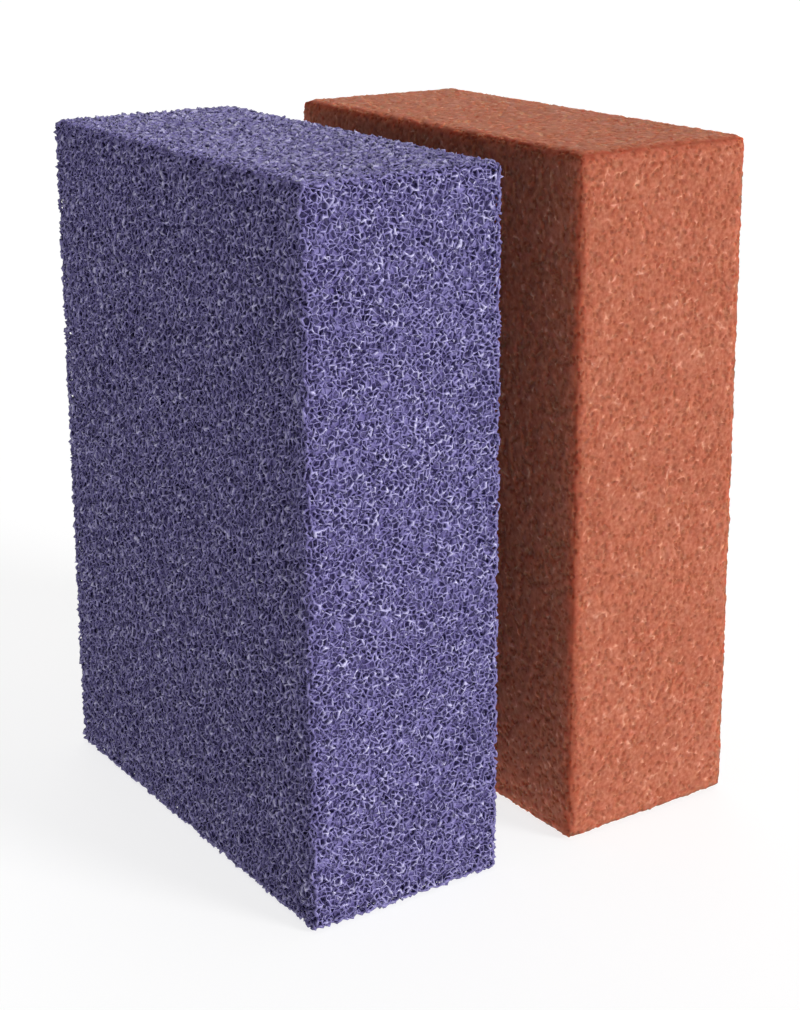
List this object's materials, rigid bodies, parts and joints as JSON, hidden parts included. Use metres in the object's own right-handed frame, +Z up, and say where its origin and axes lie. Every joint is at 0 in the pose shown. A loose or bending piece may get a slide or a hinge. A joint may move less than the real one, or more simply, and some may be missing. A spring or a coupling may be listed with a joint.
{
  "type": "open-cell foam brick set",
  "caption": "Rectangular open-cell foam bricks standing on end side by side, a coarse violet-blue brick beside a fine terracotta brick.",
  "frame": {"origin": "bottom centre of the pair's box: on the resting surface, in the middle of the gap between the two bricks", "axes": "+Z up along the bricks' length, X through the thickness of both bricks with the fine brick on the +X side, Y across their broad faces"},
  "size_m": [0.183, 0.178, 0.25],
  "materials": {
    "coarse_foam": "coarse open-cell foam, satin struts round dark pores, violet-blue",
    "fine_foam": "fine open-cell foam, matt, terracotta"
  },
  "bodies": {
    "coarse_brick": {"coarse_brick": "coarse_foam"},
    "fine_brick": {"fine_brick": "fine_foam"}
  },
  "joints": [
    {"name": "fine_brick_slide", "type": "slide", "parent": "coarse_brick", "child": "fine_brick", "axis": [1, 0, 0], "range_m": [-0.029, 0.076]}
  ]
}
